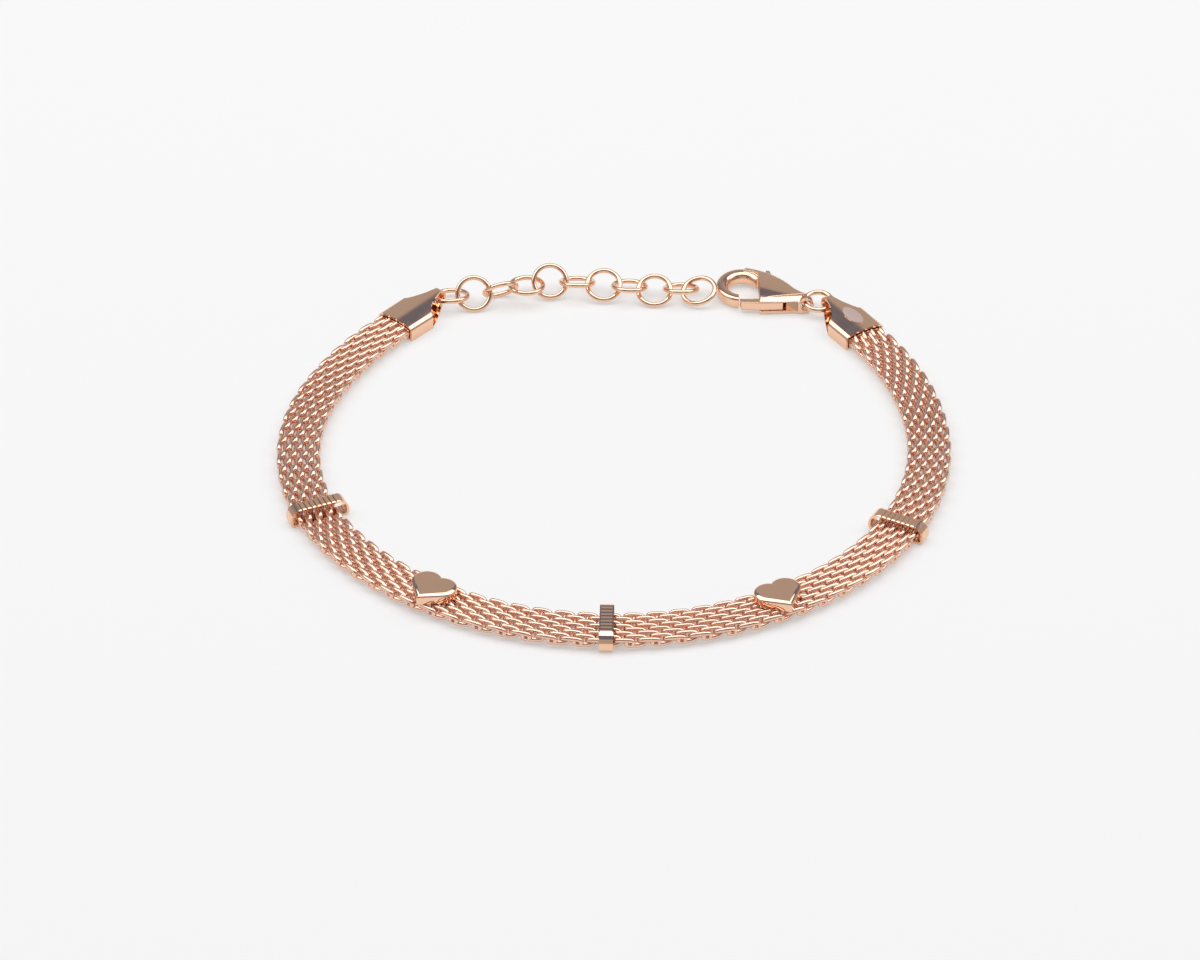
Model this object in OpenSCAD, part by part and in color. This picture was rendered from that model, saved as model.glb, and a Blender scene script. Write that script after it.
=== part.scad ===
// Mesh bracelet, lying flat and laid round into its closed loop.
// Millimetres, +Z up, z = 0 is the surface it rests on, the front of the bracelet faces -Y.
// The woven band runs clockwise from the right end cap, round the front, to the left end cap.

/* [Band] */
// Width of the woven band across
band_w = 4.65; // [3:0.05:8]
// Thickness of the woven band
band_t = 1.1; // [0.8:0.05:2]
// Height of the band's underside above the surface
band_z = 0.35; // [0:0.05:1]
// Rounding of the band's long edges
band_r = 0.3; // [0.1:0.05:0.5]
// Width of the band's crimped ends inside the caps
tongue_w = 4.3; // [3:0.05:6]
// Length of the crimped ends inside the caps
tongue_l = 2.9; // [1:0.1:4]

/* [Sliders] */
// Length of a slider along the band
slider_l = 1.42; // [1:0.02:3]
// Height of a slider
slider_h = 2.04; // [1.5:0.02:3]
// Thickness of a slider's sheet
slider_t = 0.27; // [0.2:0.01:0.5]
// Rounding of a slider's two upper corners
slider_r = 1.25; // [0.7:0.05:1.4]
// Outer width of the left slider
slider_w_left = 6.4; // [5.6:0.1:8]
// Outer width of the front slider
slider_w_front = 6.2; // [5.6:0.1:8]
// Outer width of the right slider
slider_w_right = 6.2; // [5.6:0.1:8]
// Distance between the grooves on a slider's top
groove_pitch = 0.53; // [0.4:0.01:0.7]
// Depth of the V-shaped grooves
groove_d = 0.12; // [0.05:0.01:0.15]

/* [Hearts] */
// Radius of a heart's two lobes
heart_r = 1.55; // [0.8:0.05:2]
// Half the distance between the lobes' centres
heart_x = 0.95; // [0.6:0.05:1.5]
// Distance from the lobes' centres to the point
heart_d = 2.9; // [2:0.05:4]
// Thickness of a heart
heart_t = 1.05; // [0.6:0.05:2]

/* [End caps] */
// Outer width of an end cap
cap_w = 4.9; // [4:0.05:7]
// Height of an end cap on its centre line
cap_h = 1.95; // [1.6:0.05:3]
// Height of an end cap along its long edges
cap_side = 1.62; // [1.3:0.02:2.5]
// Length of the straight part
cap_straight = 3.45; // [2:0.1:6]
// Distance from the mouth to the centre of the rolled loop
cap_loop_x = 6.75; // [5:0.05:9]
// Thickness of the caps' sheet
cap_t = 0.22; // [0.18:0.01:0.4]
// Width of the rolled loop
loop_w = 0.85; // [0.6:0.05:2]
// Outer radius of the rolled loop
loop_r = 0.92; // [0.6:0.01:1.2]
// Bore radius of the rolled loop
loop_bore = 0.7; // [0.4:0.01:0.9]
// Height of the caps' bores above the surface
loop_z = 1.3; // [0.8:0.05:1.5]
// Length of the bare oval stamped on the right cap
oval_l = 3.6; // [2:0.1:4]
// Width of the bare oval
oval_w = 1.75; // [1:0.05:2]

/* [Chain] */
// Outer width of a chain link
link_od = 4.14; // [3:0.05:6]
// Wire of the chain links
link_wire = 0.54; // [0.3:0.02:0.8]
// Outer width of the jump ring
ring_od = 3.5; // [3:0.05:6]
// Wire of the jump ring
ring_wire = 0.56; // [0.3:0.02:0.8]

/* [Clasp] */
// Outer radius of the clasp's hook
hook_r = 2.88; // [2:0.02:5]
// Width of the hook's bar
hook_bar = 1.3; // [0.9:0.05:1.6]
// Height of the hook's bar
hook_h = 1.35; // [1.2:0.05:3]
// Height of the clasp's body on its ridge
clasp_h = 2.1; // [1.8:0.05:4]
// Underside of the lever's slot
slot_z0 = 0.4; // [0.3:0.05:1]
// Top of the lever's slot
slot_z1 = 1.5; // [1.2:0.05:2]
// Clearance between lever and slot on each side
lever_gap = 0.06; // [0.04:0.01:0.15]
// Height of the tail's bore above the surface
tail_z = 1.05; // [0.9:0.05:1.5]
// Radius of the lever's pin
pin_r = 0.3; // [0.2:0.02:0.5]

/* [Placement] */
// Right end of the band, at the right cap's mouth
start_x = 28.75; // [20:0.05:40]
// Same, front to back
start_y = 24.88; // [15:0.05:40]
// Heading of the band there, counted from +X
start_h = -57.2; // [-90:0.1:0]
// Centre of the loop, left to right
mid_x = 1.489; // [-5:0.001:5]
// Centre of the loop, front to back
mid_y = 4.1; // [-5:0.01:10]

/* [Hidden] */
$fn = 48;

// The band's bend: each row is a tangent arc that turns to the right.
RADIUS = 0;
SWEEP = 1;
arcs = [[36.4, 28.4], [31.2, 54.4], [34.1, 94.4], [28.4, 56.4], [40.5, 20.4]];

// Where the pieces on the band sit: distance along it, shift inwards, extra turn.
ALONG = 0;
INWARD = 1;
TURN = 2;
spot_slider_right = [35.95, 0.2, 0];
spot_slider_front = [72.3, 0.45, 0];
spot_slider_left = [110.1, 0.27, 0];
spot_heart_right = [54.22, 0.5, 0];
spot_heart_left = [90.82, 0.43, -4];

// Centre of the right cap's oval, from the middle of the cap's mouth.
oval_at = [2.75, -0.3];

// Chain links: centre x, y, z, lean towards the back (+ far side down), turn about the vertical.
LX = 0;
LY = 1;
LZ = 2;
LEAN = 3;
YAW = 4;
links = [
  [-16.31, 32.47, 1.12, 14.4, 6.7],
  [-13.84, 32.27, 1.545, -45, 6],
  [-10.92, 32.87, 1.695, 52, 17],
  [-8.07, 33.75, 1.62, 5, 3],
  [-5.50, 34.62, 1.60, -42, 5],
  [-2.51, 34.69, 1.45, 21, -2],
  [0.42, 34.20, 1.38, -29, -1],
  [3.25, 34.10, 1.33, 17, -5],
  [6.00, 33.47, 1.16, -27, -4],
  [8.91, 33.73, 1.24, 21, 0],
  [10.86, 33.40, 1.16, -21, -41]
];
jump = [23.927, 31.226, 1.267, -7.65, -5.96];

// Clasp: centre of its hook, and the shapes of its body and lever about that centre.
hook_at = [15.68, 34.3];
tail_at = [6.85, -3.3];
tip_x = -0.45;
throat_x = 1.8;
slot_end_x = 6.0;
pin_at = [4.0, -2.45];
ridge = -23;
body_shape = [
  [0.2, 2.2], [0.4, 2.84], [1.4, 2.6], [2.2, 2.2], [3.15, 1.5], [4.15, 0.4], [4.9, -0.65],
  [5.6, -1.75], [6.3, -2.45], [7.2, -2.95], [7.2, -3.6], [6.4, -3.78], [5.6, -3.62], [4.34, -3.72],
  [throat_x, -3.82], [throat_x, 1.4], [1.2, 2.0]
];
lever_shape = [
  [-0.2, -3.56], [1.95, -3.7], [4.3, -3.6], [4.75, -3.1], [4.7, -2.1], [4.1, -1.6],
  [3.35, 1.3], [3.04, 2.62], [2.64, 2.66], [2.8, 1.1], [3.25, -1.7], [2.6, -2.5], [1.9, -2.86], [-0.35, -2.86]
];

// Arc bookkeeping: [x, y, heading] at the start of arc i, and at any distance s along the band.
function arc_len(i) = arcs[i][RADIUS] * arcs[i][SWEEP] * PI / 180;
function step(p, r, a) = [
  p[0] + r * (sin(p[2]) - sin(p[2] - a)),
  p[1] - r * (cos(p[2]) - cos(p[2] - a)),
  p[2] - a
];
function arc_start(i) = i == 0 ? [start_x, start_y, start_h]
                               : step(arc_start(i - 1), arcs[i - 1][RADIUS], arcs[i - 1][SWEEP]);
function len_to(i) = i == 0 ? 0 : len_to(i - 1) + arc_len(i - 1);
function arc_of(s, i = 0) = (i == len(arcs) - 1 || s <= len_to(i + 1)) ? i : arc_of(s, i + 1);
function at(s) = let(i = arc_of(s))
  step(arc_start(i), arcs[i][RADIUS], (s - len_to(i)) / arcs[i][RADIUS] * 180 / PI);
band_end = arc_start(len(arcs));
mouth_gap = 0.06;
groove_shift = [0, 0.15, -0.2];
chamfer_l = 0.14;
chamfer_d = 0.065;
hook_lean = 3;
seam = 0.4;
crown_r = cap_w * cap_w / (8 * (cap_h - cap_side)) + (cap_h - cap_side) / 2;
rise = atan((loop_z + loop_r - cap_h) / cap_loop_x);
cavity_w = cap_w - 0.5;
ROSE = [0.86, 0.62, 0.48];

// Everything is laid out about the camera's centre of view and then centred.
module placed() { translate([-mid_x, -mid_y, 0]) children(); }

// Origin on the band's centre line, +X along it, +Y inwards.
module on_band(spot) {
  p = at(spot[ALONG]);
  translate([p[0], p[1], 0]) rotate([0, 0, p[2] + 180]) translate([0, spot[INWARD], 0])
    rotate([0, 0, spot[TURN]]) children();
}

// Rounded bar section standing on y = 0, with radii for its top left, top right and bottom corners.
module bar_section(w, h, rl, rr, rb) {
  for (s = [-1, 1]) {
    rt = s < 0 ? rl : rr;
    scale([s, 1]) {
      translate([-0.01, 0]) square([w / 2 - rb + 0.01, h - rt]);
      translate([-0.01, rb]) square([w / 2 + 0.01, h - rt - rb]);
      translate([-0.01, rb]) square([w / 2 - rt + 0.01, h - rb]);
      translate([w / 2 - rb, rb]) circle(rb);
      translate([w / 2 - rt, h - rt]) circle(rt);
    }
  }
}

// Band arcs with a short seam between neighbours, a hair larger than the band.
module mesh_band() {
  color(ROSE) placed() {
    for (i = [0 : len(arcs) - 1]) {
      p = arc_start(i);
      r = arcs[i][RADIUS];
      cut = seam / 8 / r * 180 / PI;
      from = i == 0 ? 0 : cut;
      to = i == len(arcs) - 1 ? 0 : cut;
      translate([p[0] + r * sin(p[2]), p[1] - r * cos(p[2]), 0])
        rotate([0, 0, p[2] + 90 - arcs[i][SWEEP] + to]) rotate_extrude(angle = arcs[i][SWEEP] - from - to)
          translate([r, band_z]) bar_section(band_w, band_t, band_r, band_r, band_r);
      if (i > 0) translate([p[0], p[1], band_z + band_t / 2]) rotate([0, 0, p[2]])
        cube([seam, band_w + 0.04, band_t + 0.04], center = true);
    }
    translate([start_x, start_y, 0]) rotate([0, 0, start_h + 180]) tongue();
    translate([band_end[0], band_end[1], 0]) rotate([0, 0, band_end[2]]) tongue();
  }
}

// Crimped end of the band, held inside a cap.
module tongue() {
  translate([-0.3, -tongue_w / 2, band_z + 0.03]) cube([tongue_l + 0.3, tongue_w, band_t - 0.2]);
}

// Flattened ring of sheet pushed over the band, with eight grooves across its top.
module slider(w, shift) {
  inner_r = slider_r - 0.45;
  difference() {
    intersection() {
      rotate([90, 0, 90]) linear_extrude(slider_l, center = true)
        bar_section(w, slider_h, slider_r, slider_r, 0.5);
      rotate([90, 0, 0]) linear_extrude(w + 2, center = true) polygon(slider_side);
    }
    rotate([90, 0, 90]) linear_extrude(slider_l + 1, center = true) translate([0, slider_t])
      bar_section(w - 2 * slider_t, slider_h - 2 * slider_t, inner_r, inner_r, 0.25);
    for (i = [0 : 7])
      translate([0, shift + (i - 3.5) * groove_pitch, slider_h]) rotate([45, 0, 0])
        cube([slider_l + 1, groove_d * sqrt(2), groove_d * sqrt(2)], center = true);
  }
}

// Side view [x, z] of a slider: flat foot, and its top's two long edges broken by a small chamfer.
slider_side = [
  [-slider_l / 2, 0], [slider_l / 2, 0], [slider_l / 2, slider_h - chamfer_d],
  [slider_l / 2 - 3 * chamfer_l, slider_h + 2 * chamfer_d],
  [3 * chamfer_l - slider_l / 2, slider_h + 2 * chamfer_d], [-slider_l / 2, slider_h - chamfer_d]
];

module slider_left() { color(ROSE) placed() on_band(spot_slider_left) slider(slider_w_left, groove_shift[0]); }
module slider_front() { color(ROSE) placed() on_band(spot_slider_front) slider(slider_w_front, groove_shift[1]); }
module slider_right() { color(ROSE) placed() on_band(spot_slider_right) slider(slider_w_right, groove_shift[2]); }

// Solid heart, its point towards -Y, which is the band's outer edge.
module heart() {
  dist = sqrt(heart_x * heart_x + heart_d * heart_d);
  half = atan(heart_x / heart_d) + asin(heart_r / dist);
  tx = heart_x + heart_r * cos(half);
  ty = -heart_r * sin(half);
  translate([0, 0, band_z + band_t]) linear_extrude(heart_t) {
    for (s = [-1, 1]) translate([s * heart_x, 0]) circle(heart_r);
    polygon([[0, -heart_d], [tx, ty], [heart_x, 0], [0, 0.1], [-heart_x, 0], [-tx, ty]]);
  }
}

module heart_left() { color(ROSE) placed() on_band(spot_heart_left) heart(); }
module heart_right() { color(ROSE) placed() on_band(spot_heart_right) heart(); }

// Solid below the caps' crowned top, which rises a little towards the loop.
module crown(r) {
  translate([0, 0, cap_h - crown_r]) rotate([0, 90 - rise, 0]) translate([0, 0, -4])
    cylinder(r = r, h = 16, $fn = 96);
}

// Half outlines [x, y] of the top and bottom sheets beyond the side walls.
function both(half) = concat(half, [for (i = [len(half) - 1 : -1 : 0]) [half[i][0], -half[i][1]]]);
top_sheet = both([
  [0, cap_w / 2], [cap_straight, cap_w / 2], [cap_straight + 0.3, 1.75], [cap_straight + 0.85, 1.35],
  [cap_straight + 1.55, 1.0], [cap_straight + 2.25, 0.7], [cap_loop_x, loop_w / 2]
]);
// Half section [y, z] with the folded corners taken off, and its mirror image.
side_half = [
  [cap_w / 2, 0], [cap_w / 2, cap_side - 0.26], [cap_w / 2 - 0.12, cap_side - 0.06],
  [cap_w / 2 - 0.45, cap_side + 0.11], [cap_w / 2 - 0.45, 4]
];
both_sides = concat(side_half, [for (i = [4 : -1 : 0]) [-side_half[i][0], side_half[i][1]]]);
bottom_sheet = both([[0, cap_w / 2], [cap_straight, cap_w / 2], [cap_loop_x, 0.7]]);

// Folded sheet cap: origin at its mouth on the surface, +X towards the rolled loop.
module cap() {
  difference() {
    union() {
      difference() {
        intersection() {
          linear_extrude(4) polygon(top_sheet);
          rotate([90, 0, 90]) linear_extrude(12) polygon(both_sides);
          crown(crown_r);
        }
        intersection() {
          union() {
            translate([-1, -cavity_w / 2, cap_t]) cube([1 + cap_straight, cavity_w, 3]);
            translate([cap_straight, -4, -1]) cube([8, 8, 5]);
          }
          crown(crown_r - cap_t);
        }
      }
      intersection() {
        linear_extrude(3) polygon(bottom_sheet);
        rotate([90, 0, 0]) linear_extrude(6, center = true)
          polygon([[0.5, 0], [5.0, 0], [cap_loop_x, loop_z - loop_r], [cap_loop_x, loop_z - loop_r + cap_t],
                   [4.95, cap_t], [0.5, cap_t]]);
      }
      translate([cap_loop_x, 0, loop_z]) rotate([90, 0, 0]) cylinder(r = loop_r, h = loop_w, center = true);
    }
    translate([cap_loop_x, 0, loop_z]) rotate([90, 0, 0]) cylinder(r = loop_bore, h = 4, center = true);
  }
}

// Bare stamped oval, a little proud of the crown.
module oval() {
  r = (oval_l * oval_l + oval_w * oval_w) / (4 * oval_w);
  intersection() {
    translate([oval_at[0], oval_at[1], cap_side - 0.1]) linear_extrude(2) intersection() {
      translate([0, oval_w / 2 - r]) circle(r, $fn = 96);
      translate([0, r - oval_w / 2]) circle(r, $fn = 96);
      circle(oval_l / 2 - 0.12);
    }
    crown(crown_r + 0.06);
  }
}

module end_cap_left() {
  color(ROSE) placed() translate([band_end[0], band_end[1], 0]) rotate([0, 0, band_end[2]])
    translate([mouth_gap, 0, 0]) cap();
}

module end_cap_right() {
  color(ROSE) placed() translate([start_x, start_y, 0]) rotate([0, 0, start_h + 180])
    translate([mouth_gap, 0, 0]) {
      cap();
      oval();
    }
}

// Plain round wire ring from a row [x, y, z, lean, yaw].
module wire_ring(p, od, wire) {
  color(ROSE) placed() translate([p[LX], p[LY], p[LZ]]) rotate([0, 0, p[YAW]]) rotate([-p[LEAN], 0, 0])
    rotate_extrude() translate([(od - wire) / 2, 0]) circle(wire / 2, $fn = 24);
}

module chain_link_01() { wire_ring(links[0], link_od, link_wire); }
module chain_link_02() { wire_ring(links[1], link_od, link_wire); }
module chain_link_03() { wire_ring(links[2], link_od, link_wire); }
module chain_link_04() { wire_ring(links[3], link_od, link_wire); }
module chain_link_05() { wire_ring(links[4], link_od, link_wire); }
module chain_link_06() { wire_ring(links[5], link_od, link_wire); }
module chain_link_07() { wire_ring(links[6], link_od, link_wire); }
module chain_link_08() { wire_ring(links[7], link_od, link_wire); }
module chain_link_09() { wire_ring(links[8], link_od, link_wire); }
module chain_link_10() { wire_ring(links[9], link_od, link_wire); }
module chain_link_11() { wire_ring(links[10], link_od, link_wire); }
module jump_ring() { wire_ring(jump, ring_od, ring_wire); }

// Clasp body: a rounded hook, two plates with the lever's slot between them, and a bored tail.
module clasp_body() {
  color(ROSE) placed() translate([hook_at[0], hook_at[1], 0]) difference() {
    union() {
      difference() {
        translate([0, 0, 0.2]) rotate([hook_lean, 0, 0]) rotate_extrude()
          translate([hook_r - hook_bar / 2, 0]) bar_section(hook_bar, hook_h, 0.6, 0.35, 0.3);
        translate([tip_x, -4, -1]) cube([8, 3.6, 5]);
        translate([throat_x - 0.3, -2, -1]) cube([4, 2.9, 5]);
      }
      intersection() {
        linear_extrude(4) polygon(body_shape);
        rotate([0, 0, ridge]) translate([-5, 0, clasp_h - 10]) rotate([0, 90, 0])
          cylinder(r = 10, h = 20, $fn = 96);
        difference() {
          translate([-5, -8, -1]) cube([20, 16, 6]);
          translate([1.77, -3.3, 1.92]) rotate([0, 0, 6]) rotate([26, 0, 0]) translate([-5, -5, 0])
            cube([12, 5, 3]);
        }
        union() {
          difference() {
            translate([-1, -5, 0]) cube([10, 9, 4]);
            translate([throat_x - 0.2, -6, slot_z0]) cube([slot_end_x - throat_x + 0.2, 12, slot_z1 - slot_z0]);
          }
          translate([pin_at[0], pin_at[1], slot_z0 - 0.2]) cylinder(r = pin_r, h = slot_z1 - slot_z0 + 0.4);
        }
      }
      translate([tail_at[0], tail_at[1], tail_z]) rotate([90, 0, 0]) cylinder(r = 0.88, h = 0.7, center = true);
    }
    translate([tail_at[0], tail_at[1], tail_z]) rotate([90, 0, 0]) cylinder(r = 0.58, h = 3, center = true);
  }
}

// Gate, pivot eye and thumb tab in one piece.
module clasp_lever() {
  z0 = slot_z0 + lever_gap;
  color(ROSE) placed() translate([hook_at[0], hook_at[1], z0]) difference() {
    linear_extrude(slot_z1 - slot_z0 - 2 * lever_gap) polygon(lever_shape);
    translate([pin_at[0], pin_at[1], -1]) cylinder(r = pin_r + 0.05, h = 4);
  }
}

mesh_band();
slider_left();
slider_front();
slider_right();
heart_left();
heart_right();
end_cap_left();
end_cap_right();
chain_link_01();
chain_link_02();
chain_link_03();
chain_link_04();
chain_link_05();
chain_link_06();
chain_link_07();
chain_link_08();
chain_link_09();
chain_link_10();
chain_link_11();
jump_ring();
clasp_body();
clasp_lever();
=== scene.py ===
"""Looks of the mesh bracelet: the woven wire, the finished metal, a white table and a studio's light.

Lengths named _MM are millimetres; MM turns them into the frame's metres.
"""
import math

import bmesh
import bpy
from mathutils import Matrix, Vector


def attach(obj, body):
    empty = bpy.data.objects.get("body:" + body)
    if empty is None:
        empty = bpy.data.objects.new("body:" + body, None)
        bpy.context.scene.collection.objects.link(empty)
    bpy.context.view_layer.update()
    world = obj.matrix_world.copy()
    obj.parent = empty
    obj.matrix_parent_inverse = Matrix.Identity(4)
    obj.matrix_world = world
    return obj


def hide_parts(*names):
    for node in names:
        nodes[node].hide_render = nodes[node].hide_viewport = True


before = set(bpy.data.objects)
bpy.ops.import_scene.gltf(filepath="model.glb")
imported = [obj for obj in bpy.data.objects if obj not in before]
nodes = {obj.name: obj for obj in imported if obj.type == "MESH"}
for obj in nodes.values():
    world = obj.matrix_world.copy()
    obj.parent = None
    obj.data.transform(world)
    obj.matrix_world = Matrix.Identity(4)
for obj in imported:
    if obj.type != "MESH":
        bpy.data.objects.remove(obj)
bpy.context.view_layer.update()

MM = 0.001

# Placement along the band
# The band's centre line, as in the part's source: a start point and tangent arcs turning right.
ORIGIN_MM = (1.489, 4.1)
START_MM = (28.75, 24.88)
START_HEADING = -57.2
ARCS = [(36.4, 28.4), (31.2, 54.4), (34.1, 94.4), (28.4, 56.4), (40.5, 20.4)]  # radius mm, sweep degrees
BAND_LENGTH_MM = sum(r * math.radians(a) for r, a in ARCS)
BAND_WIDTH_MM = 4.65
BAND_Z_MM = (0.35, 1.45)


def band_at(s):
    """Point (x, y) in mm and heading in radians at distance s along the band; straight beyond its ends."""
    x, y = START_MM[0] - ORIGIN_MM[0], START_MM[1] - ORIGIN_MM[1]
    h = math.radians(START_HEADING)
    if s < 0:
        return x + s * math.cos(h), y + s * math.sin(h), h
    for radius, sweep in ARCS:
        turn = min(s / radius, math.radians(sweep))
        x += radius * (math.sin(h) - math.sin(h - turn))
        y -= radius * (math.cos(h) - math.cos(h - turn))
        h -= turn
        s -= radius * turn
        if s <= 1e-9:
            return x, y, h
    return x + s * math.cos(h), y + s * math.sin(h), h


def beside_band(s, v, z):
    """Point in metres at distance s along the band, v to its inner side and height z, all in mm."""
    x, y, h = band_at(s)
    return Vector((x - v * math.sin(h), y + v * math.cos(h), z)) * MM


# Materials
def linear(hex_colour):
    """sRGB hex to linear RGBA."""
    parts = [int(hex_colour[i:i + 2], 16) / 255 for i in (1, 3, 5)]
    return [p / 12.92 if p <= 0.04045 else ((p + 0.055) / 1.055) ** 2.4 for p in parts] + [1.0]


def add(tree, kind, links=None, **settings):
    """Adds a node; settings name its attributes or input sockets, links name sockets fed by other outputs."""
    node = tree.nodes.new(kind)
    for name, value in settings.items():
        if hasattr(node, name):
            setattr(node, name, value)
        else:
            node.inputs[name.replace("_", " ")].default_value = value
    for name, output in (links or {}).items():
        tree.links.new(output, node.inputs[name])
    return node


def new_material(name):
    material = bpy.data.materials.new(name)
    material.use_nodes = True
    material.node_tree.nodes.clear()
    return material, material.node_tree


HAZE_MM = 2.2               # size of the patches left by handling
RIPPLE_DEPTH_MM = 0.02      # far finer on the real metal; drawn this deep to show at all
TINT_FALL = 0.94            # the plate's darker patches against its colour
OVAL_DEPTH_MM = 0.6         # OVAL_DEPTH_MM = 0.6 # how far below the crown the painted highlight reaches
OVAL_ROUGHNESS = 0.34


def oval_mask(tree, place, oval):
    """Output that is 1 inside the oval (centre, axis, half length, half width, in mm) and 0 outside."""
    centre, axis, half_length, half_width = oval
    offset = add(tree, "ShaderNodeVectorMath", {0: place}, operation="SUBTRACT")
    offset.inputs[1].default_value = [c * MM for c in centre]
    rays = {
        "X": [axis[0] / (half_length * MM), axis[1] / (half_length * MM), 0],
        "Y": [-axis[1] / (half_width * MM), axis[0] / (half_width * MM), 0],
        "Z": [0, 0, -1 / (OVAL_DEPTH_MM * MM)],
    }
    reach = add(tree, "ShaderNodeCombineXYZ")
    for name, ray in rays.items():
        share = add(tree, "ShaderNodeVectorMath", {0: offset.outputs[0]}, operation="DOT_PRODUCT")
        share.inputs[1].default_value = ray
        tree.links.new(share.outputs["Value"], reach.inputs[name])
    length = add(tree, "ShaderNodeVectorMath", {0: reach.outputs[0]}, operation="LENGTH")
    return add(tree, "ShaderNodeMapRange", {"Value": length.outputs["Value"]},
               From_Min=0.95, From_Max=1.03, To_Min=1.0, To_Max=0.0).outputs["Result"]


def rose_gold(name, colour, roughness, ripple_mm, ripple, smudge=0.05, edge_mm=0.0, oval=None):
    """Rose-gold plate over polished brass: warm pink mirror with faint polishing ripple and handling haze.

    edge_mm softens the corners as polishing does; oval is (centre, axis, half length, half width), in mm, of
    a
    painted highlight: a paler, rougher patch on the crown.
    """
    material, tree = new_material(name)
    place = add(tree, "ShaderNodeTexCoord").outputs["Object"]
    haze = add(tree, "ShaderNodeTexNoise", {"Vector": place}, Scale=1 / (HAZE_MM * MM), Detail=3.0)
    rough = add(tree, "ShaderNodeMapRange", {"Value": haze.outputs["Fac"]}, From_Min=0.35, From_Max=0.7,
                To_Min=roughness, To_Max=roughness + smudge).outputs["Result"]
    wave = add(tree, "ShaderNodeTexNoise", {"Vector": place}, Scale=1 / (ripple_mm * MM), Detail=2.0)
    bump = add(tree, "ShaderNodeBump", {"Height": wave.outputs["Fac"]}, Strength=ripple,
               Distance=RIPPLE_DEPTH_MM * MM)
    if edge_mm:
        edge = add(tree, "ShaderNodeBevel", samples=6, Radius=edge_mm * MM)
        tree.links.new(edge.outputs["Normal"], bump.inputs["Normal"])
    tone = add(tree, "ShaderNodeMix", {"Factor": haze.outputs["Fac"]}, data_type="RGBA", A=linear(colour),
               B=[c * TINT_FALL for c in linear(colour)[:3]] + [1.0]).outputs["Result"]
    # Painted highlight: inside the oval the metal is made paler and rougher.
    if oval:
        inside = oval_mask(tree, place, oval)
        rough = add(tree, "ShaderNodeMix", {"Factor": inside, "A": rough}, data_type="FLOAT",
                    B=OVAL_ROUGHNESS).outputs["Result"]
        tone = add(tree, "ShaderNodeMix", {"Factor": inside, "A": tone}, data_type="RGBA",
                   B=linear("#FFE0D2")).outputs["Result"]
    metal = add(tree, "ShaderNodeBsdfPrincipled",
                {"Base Color": tone, "Roughness": rough, "Normal": bump.outputs["Normal"]}, Metallic=1.0)
    add(tree, "ShaderNodeOutputMaterial", {"Surface": metal.outputs["BSDF"]})
    return material


CAP_AXIS = (-math.cos(math.radians(START_HEADING)), -math.sin(math.radians(START_HEADING)))
OVAL_SPOT_MM = (2.81, 0.3, 1.95)    # from the cap's mouth, across its axis, and the height of its crown
OVAL_AT_MM = (
    START_MM[0] - ORIGIN_MM[0] + CAP_AXIS[0] * OVAL_SPOT_MM[0] + CAP_AXIS[1] * OVAL_SPOT_MM[1],
    START_MM[1] - ORIGIN_MM[1] + CAP_AXIS[1] * OVAL_SPOT_MM[0] - CAP_AXIS[0] * OVAL_SPOT_MM[1],
    OVAL_SPOT_MM[2],
)
OVAL_HALVES_MM = (1.72, 0.84)

# Drawn wire, a little softer in its mirror than the rest.
WIRE = rose_gold("rose_gold_woven_wire", "#F8CCB3", 0.2, 0.35, 0.15)
# Folded and rolled sheet: flat mirrors with crisp corners.
SHEET = rose_gold("rose_gold_polished_sheet", "#F9CDAD", 0.08, 1.6, 0.04)
# The same sheet with a painted highlight on its crown: a paler, rougher oval.
PAINTED_HIGHLIGHT_SHEET = rose_gold("rose_gold_sheet_painted_highlight", "#F9CDAD", 0.08, 1.6, 0.04,
                    oval=(OVAL_AT_MM, CAP_AXIS, *OVAL_HALVES_MM))
# The hearts' flat mirror.
MIRROR = rose_gold("rose_gold_mirror_hearts", "#F9CDAD", 0.06, 1.6, 0.03, 0.03)
# Cast and tumbled: the clasp, with worn-round corners.
CAST = rose_gold("rose_gold_polished_casting", "#F9CDAD", 0.09, 0.9, 0.06, edge_mm=0.22)
# Drawn and closed wire of the chain and the jump ring.
LINK = rose_gold("rose_gold_polished_rings", "#F9CDAD", 0.09, 0.9, 0.06)

# Woven wire
WIRE_MM = 0.5
COIL_SPACING_MM = 1.22
COIL_LENGTH_MM = 2.42       # outer length of one flattened turn along the band
COIL_RUN_IN_MM = 2.6        # how far into each cap the coils are counted
TURNS = 4
POINTS_PER_TURN = 18
ROW_HOLD = 0.2              # how far the advance across the band is kept to the turns
COIL_LEAN = -8              # degrees: each turn's end nearer the right cap stands high, the other dives
SQUARENESS = 0.7            # below 1 flattens the turns' tops and bottoms
EDGE_ROOM_MM = 0.055        # the outermost strand's distance from the band's edge
BALL_TURN = 0.1             # how far past a half turn each wire end reaches
CRIMP_LENGTH_MM = 1.2       # the band narrows and domes over this length before a cap
CRIMP_WIDTH = 0.94
CRIMP_HEIGHT = 0.9
CRIMP_RISE_MM = 0.28        # how far the squeezed band's centre line stands up
DOME_DROP = 0.055           # how fast the dome falls off across the band, per mm
END_HALF_MM = 2.12          # half width of the soldered ends inside the caps
END_Z_MM = 0.38             # their underside
END_TOP_MM = 1.62           # their top on the centre line
END_REACH_MM = (0.1, -2.85)  # from just outside a cap's mouth to deep inside it
DOME_STEPS = 12


def crimp(s):
    """How far (0 to 1) the band is squeezed at s, fully so inside the caps."""
    room = min(s, BAND_LENGTH_MM - s)
    t = min(max(1 - room / CRIMP_LENGTH_MM, 0), 1)
    return t * t * (3 - 2 * t)


def flat(value):
    return math.copysign(abs(value) ** SQUARENESS, value)


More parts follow.
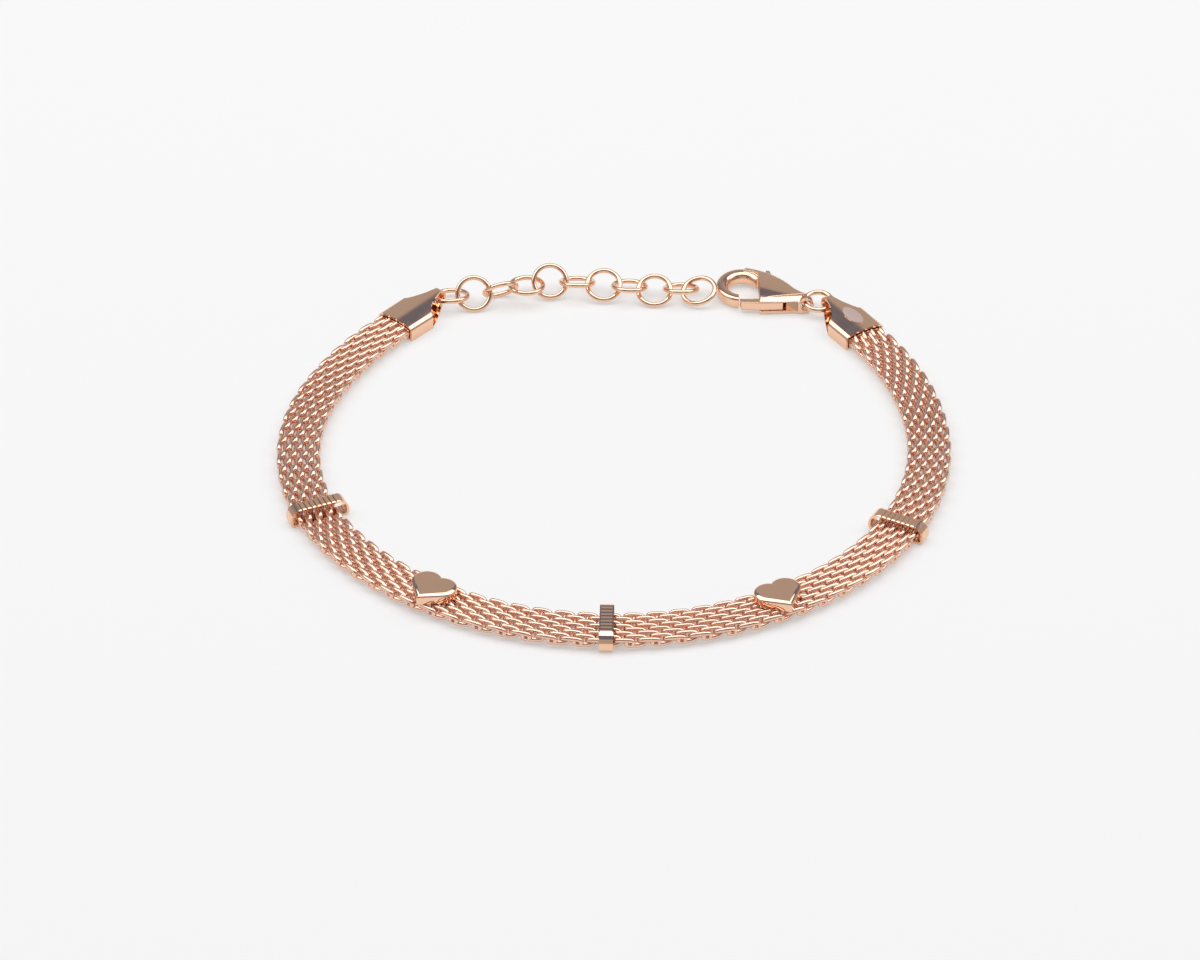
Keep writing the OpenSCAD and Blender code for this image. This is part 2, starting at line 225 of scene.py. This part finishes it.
def coil_points(index, count):
    """Path of one coil's wire: a flattened helix whose axis runs across the band, outer edge to inner."""
    centre = -COIL_RUN_IN_MM + index * (BAND_LENGTH_MM + 2 * COIL_RUN_IN_MM) / (count - 1)
    half_s = (COIL_LENGTH_MM - WIRE_MM) / 2
    half_z = (BAND_Z_MM[1] - BAND_Z_MM[0] - WIRE_MM) / 2
    mid_z = sum(BAND_Z_MM) / 2
    half_v = (BAND_WIDTH_MM - WIRE_MM) / 2
    pitch = 2 * (half_v - EDGE_ROOM_MM) / (TURNS - 0.5)
    start = 0.5 * (index % 2)
    first, last = start - BALL_TURN, start + TURNS + BALL_TURN
    steps = round((last - first) * POINTS_PER_TURN)
    points = []
    for i in range(steps + 1):
        turn = first + (last - first) * i / steps
        angle = 2 * math.pi * turn
        rows = turn - start - 0.25 + ROW_HOLD * math.sin(2 * angle) / (2 * math.pi)
        v = min(max(half_v - EDGE_ROOM_MM - pitch * rows, -half_v), half_v)
        s = centre - half_s * flat(math.cos(angle))
        squeeze = crimp(s)
        v *= 1 - squeeze * (1 - CRIMP_WIDTH)
        swing = half_z * flat(math.sin(angle - math.radians(COIL_LEAN))) * (1 - squeeze * (1 - CRIMP_HEIGHT))
        points.append(beside_band(s, v, mid_z + squeeze * (CRIMP_RISE_MM - DOME_DROP * v * v) + swing))
    return points


def tube_mesh(name, paths, radius, sides_level):
    """One mesh of round wire swept along each path, with closed ends."""
    curve = bpy.data.curves.new(name, "CURVE")
    curve.dimensions = "3D"
    curve.bevel_depth = radius
    curve.bevel_resolution = sides_level
    curve.use_fill_caps = True
    for path in paths:
        spline = curve.splines.new("POLY")
        spline.points.add(len(path) - 1)
        for point, co in zip(spline.points, path):
            point.co = (*co, 1)
    holder = bpy.data.objects.new(name + "_path", curve)
    bpy.context.scene.collection.objects.link(holder)
    bpy.context.view_layer.update()
    mesh = bpy.data.meshes.new_from_object(holder.evaluated_get(bpy.context.evaluated_depsgraph_get()))
    bpy.data.objects.remove(holder)
    for polygon in mesh.polygons:
        polygon.use_smooth = True
    return mesh


def add_crimped_ends(mesh):
    """Joins to the weave its two soldered ends: domed blocks that fill the caps' mouths."""
    profile = [(END_HALF_MM, END_Z_MM), (-END_HALF_MM, END_Z_MM)]
    for i in range(DOME_STEPS + 1):
        v = END_HALF_MM * (2 * i / DOME_STEPS - 1)
        profile.append((v, END_TOP_MM - DOME_DROP * v * v))
    shape = bmesh.new()
    shape.from_mesh(mesh)
    near, far = END_REACH_MM
    for start, end in ((near, far), (BAND_LENGTH_MM - near, BAND_LENGTH_MM - far)):
        ring = [shape.verts.new(beside_band(start, v, z)) for v, z in profile]
        pulled = bmesh.ops.extrude_face_region(shape, geom=[shape.faces.new(ring)])["geom"]
        moved = [part for part in pulled if isinstance(part, bmesh.types.BMVert)]
        bmesh.ops.translate(shape, verts=moved, vec=beside_band(end, 0, 0) - beside_band(start, 0, 0))
        block = {face for vert in ring + moved for face in vert.link_faces}
        bmesh.ops.recalc_face_normals(shape, faces=list(block))
    shape.to_mesh(mesh)
    shape.free()


def add_piece(name, mesh, material, body, stands_for=()):
    """Links a finished mesh as a piece of the object."""
    mesh.name = name
    mesh.materials.clear()
    mesh.materials.append(material)
    piece = bpy.data.objects.new(name, mesh)
    bpy.context.scene.collection.objects.link(piece)
    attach(piece, body)
    for node in stands_for:
        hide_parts(node)


# The first and last coil would stick out of the soldered ends inside the caps, so they are left out.
coil_count = round((BAND_LENGTH_MM + 2 * COIL_RUN_IN_MM) / COIL_SPACING_MM) + 1
coils = [coil_points(i, coil_count) for i in range(1, coil_count - 1)]
weave = tube_mesh("woven_band", coils, WIRE_MM / 2 * MM, 2)
add_crimped_ends(weave)
add_piece("woven_band", weave, WIRE, "bracelet", ["mesh_band"])

# Hearts with polished-round rims
HEART_LOBE_MM = (1.55, 0.95)    # lobe radius, half the distance between the lobes' centres
HEART_POINT_MM = 2.9            # from the lobes' centres down to the point
HEART_Z_MM = (1.45, 2.5)
LOBE_STEPS = 28
CREASE = 0.5                    # radians: sharper edges than this stay crisp
# The rim from the flat face outwards: how far inside the outline, how far below the face.
HEART_RIM_MM = [
    (0.42, 0.0), (0.36, 0.008), (0.28, 0.035), (0.2, 0.07),
    (0.12, 0.105), (0.05, 0.16), (0.015, 0.215), (0.0, 0.28),
]
# Distance along the band, distance inward from its centre line, and turn in degrees.
HEARTS = {"heart_left": (90.82, 0.43, -4), "heart_right": (54.22, 0.5, 0)}


def heart_outline(inset):
    """Closed outline of the heart drawn in by inset, point towards -Y."""
    radius, side = HEART_LOBE_MM
    low = math.atan(side / HEART_POINT_MM) + math.asin(radius / math.hypot(side, HEART_POINT_MM))
    tip_half = math.atan2(side + radius * math.cos(low), HEART_POINT_MM - radius * math.sin(low))
    radius -= inset
    high = math.pi - math.acos(side / radius)
    lobe = []
    for i in range(LOBE_STEPS + 1):
        angle = -low + (high + low) * i / LOBE_STEPS
        lobe.append((side + radius * math.cos(angle), radius * math.sin(angle)))
    tip = (0, inset / math.sin(tip_half) - HEART_POINT_MM)
    return [tip] + lobe + [(-x, y) for x, y in reversed(lobe[:-1])]


def heart_mesh(name, spot):
    """Solid heart on the band: its outline at each height of the rim, bridged and closed."""
    along, inward, turn = spot
    x, y, h = band_at(along)
    base = h + math.pi
    x, y = x - inward * math.sin(base), y + inward * math.cos(base)
    angle = base + math.radians(turn)
    bottom, top = HEART_Z_MM
    layers = [(0.0, bottom)] + [(inset, top - drop) for inset, drop in reversed(HEART_RIM_MM)]
    shape = bmesh.new()
    rings = []
    for inset, z in layers:
        ring = []
        for px, py in heart_outline(inset):
            across = x + px * math.cos(angle) - py * math.sin(angle)
            back = y + px * math.sin(angle) + py * math.cos(angle)
            ring.append(shape.verts.new(Vector((across, back, z)) * MM))
        rings.append([shape.edges.new(pair) for pair in zip(ring, ring[1:] + ring[:1])])
    for low, high in zip(rings, rings[1:]):
        for face in bmesh.ops.bridge_loops(shape, edges=low + high)["faces"]:
            face.smooth = True
    for ring in (rings[0], rings[-1]):
        for face in bmesh.ops.contextual_create(shape, geom=ring)["faces"]:
            face.smooth = False
    bmesh.ops.recalc_face_normals(shape, faces=shape.faces)
    shape.normal_update()
    for edge in shape.edges:
        edge.smooth = edge.calc_face_angle() < CREASE
    mesh = bpy.data.meshes.new(name)
    shape.to_mesh(mesh)
    shape.free()
    return mesh


for name, spot in HEARTS.items():
    add_piece(name + "_polished", heart_mesh(name, spot), MIRROR, "bracelet", [name])

# Finished metal on the solids
for name, node in nodes.items():
    if name == "mesh_band" or name in HEARTS:
        continue
    if name == "end_cap_right":
        finish = PAINTED_HIGHLIGHT_SHEET
    elif name.startswith(("slider", "end_cap")):
        finish = SHEET
    elif name.startswith("clasp"):
        finish = CAST
    else:
        finish = LINK
    node.data.materials.clear()
    node.data.materials.append(finish)

# White table: cast acrylic with a soft sheen, lit a little from within as a light table is.
TABLE_HALF = 1.5
table_mesh = bpy.data.meshes.new("table")
shape = bmesh.new()
bmesh.ops.create_grid(shape, x_segments=1, y_segments=1, size=TABLE_HALF)
shape.to_mesh(table_mesh)
shape.free()
table = bpy.data.objects.new("table", table_mesh)
bpy.context.scene.collection.objects.link(table)
acrylic, tree = new_material("white_studio_acrylic")
gloss = add(tree, "ShaderNodeBsdfPrincipled", Base_Color=linear("#BBBAB8"), Roughness=0.35, IOR=1.3,
            Emission_Color=linear("#FFFEFB"), Emission_Strength=0.40)
add(tree, "ShaderNodeOutputMaterial", {"Surface": gloss.outputs["BSDF"]})
table_mesh.materials.append(acrylic)

# One broad softbox overhead, facing straight down.
SOFTBOX_AT = (0, 0.15, 0.70)
SOFTBOX_SIZE = (2.0, 0.70)
SOFTBOX_WATTS = 9.4
softbox_data = bpy.data.lights.new("overhead_softbox", "AREA")
softbox_data.shape = "RECTANGLE"
softbox_data.size, softbox_data.size_y = SOFTBOX_SIZE
softbox_data.energy = SOFTBOX_WATTS
softbox = bpy.data.objects.new("overhead_softbox", softbox_data)
bpy.context.scene.collection.objects.link(softbox)
softbox.location = SOFTBOX_AT

# Dim room: a pale wall before and behind the table, which the level mirrors show, and paler flanks.
# Each range is a share of the unit direction: Y is ahead, X aside and Z up.
world = bpy.data.worlds.new("dim_studio")
world.use_nodes = True
tree = world.node_tree
tree.nodes.clear()
way = add(tree, "ShaderNodeSeparateXYZ", {"Vector": add(tree, "ShaderNodeTexCoord").outputs["Generated"]})
ahead = add(tree, "ShaderNodeMath", {0: way.outputs["Y"]}, operation="ABSOLUTE")
aside = add(tree, "ShaderNodeMath", {0: way.outputs["X"]}, operation="ABSOLUTE")
facing = add(tree, "ShaderNodeMapRange", {"Value": ahead.outputs["Value"]}, From_Min=0.05, From_Max=0.4)
width = add(tree, "ShaderNodeMapRange", {"Value": aside.outputs["Value"]}, From_Min=0.30, From_Max=0.48,
            To_Min=1.0, To_Max=0.0)
under = add(tree, "ShaderNodeMapRange", {"Value": way.outputs["Z"]}, From_Min=0.63, From_Max=0.665,
            To_Min=1.0, To_Max=0.0)
panel = add(tree, "ShaderNodeMath", {0: facing.outputs["Result"], 1: under.outputs["Result"]},
            operation="MULTIPLY")
wall = add(tree, "ShaderNodeMath", {0: panel.outputs["Value"], 1: width.outputs["Result"]},
           operation="MULTIPLY")
flank = add(tree, "ShaderNodeMapRange", {"Value": aside.outputs["Value"]}, From_Min=0.5, From_Max=0.85)
shade = add(tree, "ShaderNodeMix", {"Factor": flank.outputs["Result"]}, data_type="RGBA",
            A=linear("#6C768E"), B=linear("#B1B0B1"))
room = add(tree, "ShaderNodeMix", {"Factor": wall.outputs["Value"], "A": shade.outputs["Result"]},
           data_type="RGBA", B=linear("#B3B2B2"))
sky = add(tree, "ShaderNodeBackground", {"Color": room.outputs["Result"]}, Strength=1.0)
add(tree, "ShaderNodeOutputWorld", {"Surface": sky.outputs["Background"]})
bpy.context.scene.world = world
bpy.context.scene.view_settings.view_transform = "Standard"

# Camera at the product view's angle and distance
CAMERA_ELEVATION = 36.5
CAMERA_DISTANCE_MM = 474.075
SENSOR_MM = 36
LENS_MM = 136.49
camera_data = bpy.data.cameras.new("camera")
camera_data.sensor_width = SENSOR_MM
camera_data.lens = LENS_MM
camera = bpy.data.objects.new("camera", camera_data)
bpy.context.scene.collection.objects.link(camera)
target = Vector((-ORIGIN_MM[0], -ORIGIN_MM[1], 0)) * MM
back = Vector((0, -math.cos(math.radians(CAMERA_ELEVATION)), math.sin(math.radians(CAMERA_ELEVATION))))
camera.location = target + back * CAMERA_DISTANCE_MM * MM
camera.rotation_euler = (-back).to_track_quat("-Z", "Y").to_euler()
bpy.context.scene.camera = camera
